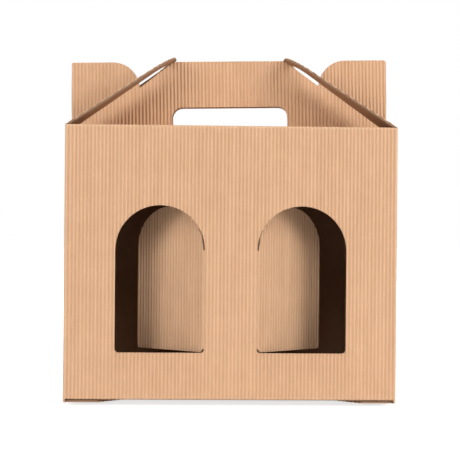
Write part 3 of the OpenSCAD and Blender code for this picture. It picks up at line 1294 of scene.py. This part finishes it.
@dataclass(frozen=True)
class Tongue:
    """Tongue of the back flap, up through the front flap's recess and flat on top of it."""

    make: Maker

    def build(self, ply: Ply) -> bpy.types.Object:
        """Sweeps the tongue from its crease.

        Args:
            ply: which ply to make.

        Returns:
            The piece, on the carton's body.
        """
        size, board = self.make.size, self.make.board
        half, root = size.tongue_w / 2, size.depth / 2 - size.tongue_root
        rise = size.foot + size.layer
        stations = []
        for across in board.stations(ply, size.width / 2 - half, size.width / 2 + half):
            depth = board.depth(ply, across)
            stations.append(Station(Vector((size.width / 2 - across, root, depth)), across, depth))
        sheet = Sheet(stations)
        up = sheet.pull(sheet.row, Vector((0, -size.tongue_rise, rise)))
        sheet.pull(up, Vector((0, size.tongue_rise - size.tongue_l, 0)))
        mesh = sheet.finish(f"tongue_{ply.value}", lambda _: Vector((0, 0, -1)))
        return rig.ride(self.make.dress(mesh, ply), "carton")


@dataclass(frozen=True)
class RoofFlap:
    """Slotted flap of a side wall, leaning on the handle with an ear through its slot."""

    make: Maker
    side: Side

    @property
    def body(self) -> str:
        """The body that the flap moves with."""
        return f"{self.side.word}_roof_flap"

    @property
    def angle(self) -> float:
        """The flap's angle above level."""
        return self.make.size.roof_angle(self.side, self.make.board)

    @property
    def corner(self) -> Vector:
        """Middle of the sharp corner that the fold rounds off."""
        return Vector((self.side.value * self.make.size.width / 2, 0, self.make.size.top))

    @property
    def along(self) -> Vector:
        """Direction from the fold to the tip."""
        return Vector((-self.side.value * math.cos(self.angle), 0, math.sin(self.angle)))

    @property
    def inward(self) -> Vector:
        """Direction from the crests to the liner."""
        return Vector((-self.side.value * math.sin(self.angle), 0, -math.cos(self.angle)))

    def build(self, ply: Ply) -> bpy.types.Object:
        """Cuts the flap out with its slot and lays it on the handle.

        Args:
            ply: which ply to make.

        Returns:
            The piece, on the flap's body.
        """
        size, cut = self.make.size, self.make.cut
        sheet = self.make.panel(ply, -size.depth / 2, size.depth / 2, size.fold, size.roof_len + MM)
        sheet.trim(cut.roof(), True)
        sheet.trim(cut.roof_slot(), False)
        axes = Matrix((Vector((0, 1, 0)), self.inward, self.along)).transposed().to_4x4()
        sheet.turn(Matrix.Translation(self.corner) @ axes)
        mesh = sheet.finish(f"{self.body}_{ply.value}", lambda _: -self.inward)
        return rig.ride(self.make.dress(mesh, ply), self.body)

    def build_fold(self, ply: Ply) -> bpy.types.Object:
        """Makes the board of the fold, which bends as the flap opens.

        Args:
            ply: which ply to make.

        Returns:
            The piece, blended from the carton to the flap's body.
        """
        size, board, s = self.make.size, self.make.board, self.side.value
        root, x, z = size.depth / 2 - size.roof_inset, size.width / 2, size.top - size.fold
        turn = QUARTER - self.angle
        stations = []
        for across in board.stations(ply, size.depth / 2 - root, size.depth / 2 + root):
            depth = board.depth(ply, across)
            stations.append(Station(Vector((s * (x - depth), across - size.depth / 2, z)), across, depth))
        sheet = Sheet(stations)
        crush, straight = board.crush(ply), size.fold - size.fold * math.tan(turn / 2)
        sheet.press(sheet.row, Vector((-s, 0, 0)), crush)
        edges = sheet.pull(sheet.row, Vector((0, 0, straight)))
        centre = Vector((s * (x - size.fold), 0, z + straight))
        edges = sheet.bend(edges, Fold(centre, "Y", -s * turn, size.fold, crush))
        sheet.press(sheet.pull(edges, self.along * straight), self.inward, -crush)
        mouth = size.slot_w / 2
        for zone in (Zone.BODY, Zone.FOLD):
            box = [(-mouth, 0), (mouth, 0), (mouth, 2 * size.top), (-mouth, 2 * size.top)]
            sheet.trim(box, False, zone, plane((0, 0, 0), (0, 1, 0), (0, 0, 1)))
        mesh = sheet.finish(f"{self.body}_fold_{ply.value}", lambda _: Vector((s, 0, 1)))
        piece = self.make.dress(mesh, ply)
        low = self.corner - Vector((0, 0, straight))
        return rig.blend(piece, "carton", self.body, low, self.corner + self.along * straight)


@dataclass(frozen=True)
class WindowFlap:
    """Arched piece of the front wall, pushed in about the liner at one edge.

    Crushed gives the fold's stations: share of the push, then run and depth in millimetres.
    """

    make: Maker
    side: Side
    crushed: tuple[tuple[float, float, float], ...] = (
        (0.0, -0.5, 0.95), (0.0, 0.0, 0.85), (0.25, 0.0, 0.7), (0.5, 0.0, 0.6),
        (0.75, 0.0, 0.55), (1.0, 0.4, 0.5), (1.0, 0.9, 0.5),
    )

    @property
    def body(self) -> str:
        """The body that the flap moves with."""
        return f"{self.side.word}_window_flap"

    @property
    def hinge(self) -> Vector:
        """A point of the upright line about which the flap turns."""
        size, board = self.make.size, self.make.board
        return Vector((self.side.value * size.window_gap / 2, board.thickness - size.depth / 2, 0))

    def _turned(self, share: float) -> Matrix:
        """Turns about the hinge, with the hinge as the origin.

        Args:
            share: share of the push.

        Returns:
            The matrix from the hinge's coordinates to the scene's.
        """
        spin = Matrix.Rotation(self.side.value * self.make.size.push * share, 4, "Z")
        return Matrix.Translation(self.hinge) @ spin

    def build(self, ply: Ply) -> bpy.types.Object:
        """Cuts the flap out and pushes it in.

        Args:
            ply: which ply to make.

        Returns:
            The piece, on the flap's body.
        """
        size = self.make.size
        middle = self.side.value * (size.window_gap + size.window_w) / 2
        half = size.window_w / 2
        low, high = size.sill, size.sill + size.window_h
        sheet = self.make.panel(ply, middle - half, middle + half, low, high)
        sheet.trim(self.make.cut.window(self.side, size.kerf), True)
        sheet.turn(Matrix.Translation((0, -size.depth / 2, size.foot)))
        sheet.turn(self._turned(1) @ Matrix.Translation(-self.hinge))
        outward = self._turned(1).to_3x3() @ Vector((0, -1, 0))
        mesh = sheet.finish(f"{self.body}_{ply.value}", lambda _: outward)
        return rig.ride(self.make.dress(mesh, ply), self.body)

    def build_fold(self) -> bpy.types.Object:
        """Makes the crushed flute of the fold, which opens as the flap goes in.

        Returns:
            The piece, blended from the carton to the flap's body.
        """
        size, board, s = self.make.size, self.make.board, self.side.value
        low = size.foot + size.sill + size.window_r
        spring = size.foot + size.sill + size.window_h - size.window_w / 2
        stations = []
        for share, run, depth in self.crushed:
            local = Vector((s * run, depth - board.thickness / MM, 0)) * MM
            place = self._turned(share) @ local
            across = self.hinge.x + size.width / 2 + s * (run + share) * MM
            stations.append(Station(Vector((place.x, place.y, low)), across, depth * MM))
        sheet = Sheet(stations)
        sheet.pull(sheet.row, Vector((0, 0, spring - low)))
        mesh = sheet.finish(f"{self.body}_fold", lambda _: Vector((0, -1, 0)))
        piece = self.make.dress(mesh, Ply.FLUTES)
        ends = (self._turned(share) @ Vector((0, -MM, 0)) for share in (0, 1))
        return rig.blend(piece, "carton", self.body, *ends)


# ---------------------------------------------------------------- studio


@dataclass(frozen=True)
class Lamp:
    """Soft box aimed at the middle of the carrier."""

    name: str
    place: tuple[float, float, float]
    size: float
    power: float

    def build(self, target: Vector) -> None:
        """Adds the lamp to the scene.

        Args:
            target: the point that it shines at.
        """
        data = bpy.data.lights.new(self.name, "AREA")
        data.shape, data.size, data.energy = "SQUARE", self.size, self.power
        lamp = bpy.data.objects.new(self.name, data)
        lamp.location = self.place
        lamp.rotation_euler = (target - lamp.location).to_track_quat("-Z", "Y").to_euler()
        bpy.context.scene.collection.objects.link(lamp)


@dataclass(frozen=True)
class Studio:
    """Pale floor, soft boxes, world and camera.

    The floor's glow grows from near_glow to white between the distances near and far. It is off beneath the carrier,
    as far as the given shares of its width and depth, which paints a shadow under it and keeps white from showing
    through the gap beside the tongue. Eye, right and up place the camera.
    """

    lamps: tuple[Lamp, ...] = (
        Lamp("key", (-1.4, -1.3, 0.7), 0.8, 18.0),
        Lamp("fill", (1.4, -1.3, 0.7), 0.8, 20.5),
        Lamp("front", (0.0, -1.7, 1.5), 1.0, 12.5),
        Lamp("high", (1.2, -0.6, 1.6), 0.8, 7.0),
        Lamp("top", (0.0, 0.0, 2.0), 1.2, 5.5),
        Lamp("back", (0.5, 1.7, 1.2), 1.0, 9.0),
    )
    ambient: float = 0.02
    floor_half: float = 8.0
    floor_drop: float = 0.2 * MM
    near: float = 0.25
    far: float = 0.7
    near_glow: float = 0.75
    # Painted shadow beneath the carrier: its reach as shares of the width and depth, and where its soft edge ends.
    under_x: float = 0.42
    under_y: float = 0.14
    under_edge: float = 1.2
    lens: float = 109.33
    sensor: float = 36.0
    eye: tuple[float, float, float] = (-0.03406, -0.95836, 0.1145)
    right: tuple[float, float, float] = (0.99929, -0.03664, 0.00873)
    up: tuple[float, float, float] = (-0.00872, 0.00032, 0.99996)

    def build(self, size: Carrier) -> None:
        """Sets up everything that isn't part of the carrier.

        Args:
            size: the carrier, which the lamps are aimed at.
        """
        for lamp in self.lamps:
            lamp.build(Vector((0, 0, size.top / 2)))
        self._floor(size)
        self._world()
        self._camera()
        bpy.context.scene.view_settings.view_transform = "Standard"

    def _floor(self, size: Carrier) -> None:
        """Lays the floor, which shows white, keeps the shadow, has a painted shadow beneath the carrier and is clear
        from below.

        Args:
            size: the carrier that stands on it.
        """
        bm = bmesh.new()
        bmesh.ops.create_grid(bm, x_segments=1, y_segments=1, size=self.floor_half)
        bmesh.ops.translate(bm, vec=(0, 0, -self.floor_drop), verts=bm.verts[:])
        mesh = bpy.data.meshes.new("floor")
        bm.to_mesh(mesh)
        bm.free()
        material = bpy.data.materials.new("floor_paper")
        material.use_nodes = True
        material.node_tree.nodes.clear()
        g = Graph(material.node_tree)
        colour = {"Base Color": (0.8, 0.8, 0.8, 1.0), "Roughness": 0.9, "Specular IOR Level": 0.1}
        paper = g.add("BsdfPrincipled", colour)
        place = g.add("TexCoord").outputs["Object"]
        distance = g.add("VectorMath", {0: place}, operation="LENGTH").outputs["Value"]
        strength = g.ramp(distance, self.near, self.far, self.near_glow, 1.0)
        spread = (1 / (self.under_x * size.width), 1 / (self.under_y * size.depth), 0.0)
        share = g.add("VectorMath", {0: place, 1: spread}, operation="MULTIPLY").outputs[0]
        share = g.add("VectorMath", {0: share}, operation="ABSOLUTE").outputs[0]
        x_share, y_share, _ = g.add("SeparateXYZ", {0: share}).outputs
        # Painted shadow: the glow is cut off beneath the carrier and fades in past its footprint.
        beside = g.ramp(g.math("MAXIMUM", x_share, y_share), 1.0, self.under_edge, 0.0, 1.0)
        glow = g.add("Emission", {"Color": WHITE, "Strength": g.math("MULTIPLY", strength, beside)})
        lit = g.add("AddShader", {0: paper.outputs[0], 1: glow.outputs[0]})
        top = g.add("MixShader", {0: self._seen(g), 1: paper.outputs[0], 2: lit.outputs[0]})
        below = g.add("NewGeometry").outputs["Backfacing"]
        clear = g.add("BsdfTransparent")
        mixed = g.add("MixShader", {0: below, 1: top.outputs[0], 2: clear.outputs[0]})
        g.add("OutputMaterial", {"Surface": mixed.outputs[0]})
        mesh.materials.append(material)
        floor = bpy.data.objects.new("floor", mesh)
        bpy.context.scene.collection.objects.link(floor)
        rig.stage(floor)

    @staticmethod
    def _seen(g: Graph) -> bpy.types.NodeSocket:
        """Marks the rays that show the background: straight, mirrored or through glass.

        Args:
            g: the node tree that asks.

        Returns:
            1 on those rays and 0 on the others.
        """
        path = g.add("LightPath").outputs
        straight = g.math("MAXIMUM", path["Is Camera Ray"], path["Is Glossy Ray"])
        return g.math("MAXIMUM", straight, path["Is Transmission Ray"])

    def _world(self) -> None:
        """Makes the world white to the camera and dim to the carrier."""
        world = bpy.data.worlds.new("studio")
        world.use_nodes = True
        world.node_tree.nodes.clear()
        g = Graph(world.node_tree)
        strength = g.ramp(self._seen(g), 0.0, 1.0, self.ambient, 1.0)
        glow = g.add("Background", {"Color": WHITE, "Strength": strength})
        g.add("OutputWorld", {"Surface": glow.outputs[0]})
        bpy.context.scene.world = world

    def _camera(self) -> None:
        """Places the camera."""
        data = bpy.data.cameras.new("camera")
        data.lens, data.sensor_width = self.lens, self.sensor
        data.clip_start, data.clip_end = 0.05, 50.0
        camera = bpy.data.objects.new("camera", data)
        right, up = Vector(self.right), Vector(self.up)
        axes = Matrix((right, up, right.cross(up))).transposed().to_4x4()
        camera.matrix_world = Matrix.Translation(self.eye) @ axes
        bpy.context.scene.collection.objects.link(camera)
        bpy.context.scene.camera = camera


# ---------------------------------------------------------------- main


def main() -> None:
    """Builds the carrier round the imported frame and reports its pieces."""
    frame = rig.load()
    cad_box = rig.bounds()
    board = Board()
    size = Carrier.from_frame(frame["record"])
    make = Maker(size, board, Finishes.make(board))
    for ply in Ply:
        walls = Sleeve(make).build(ply)
        if ply is Ply.FLUTES:
            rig.replaces(walls, "carton")
        Handle(make, 1).build(ply)
        Handle(make, -1).build(ply)
        Tongue(make).build(ply)
        for side in Side:
            for flap in (RoofFlap(make, side), WindowFlap(make, side)):
                piece = flap.build(ply)
                if ply is Ply.FLUTES:
                    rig.replaces(piece, flap.body)
            RoofFlap(make, side).build_fold(ply)
    for side in Side:
        WindowFlap(make, side).build_fold()
    Studio().build(size)
    boxes = {"cad": cad_box, "visual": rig.bounds()}
    with open("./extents.json", "w", encoding="utf-8") as out:
        json.dump({name: [list(corner) for corner in box] for name, box in boxes.items()}, out)


if __name__ == "__main__":
    logging.basicConfig(level=logging.INFO, format="%(name)s: %(message)s")
    main()
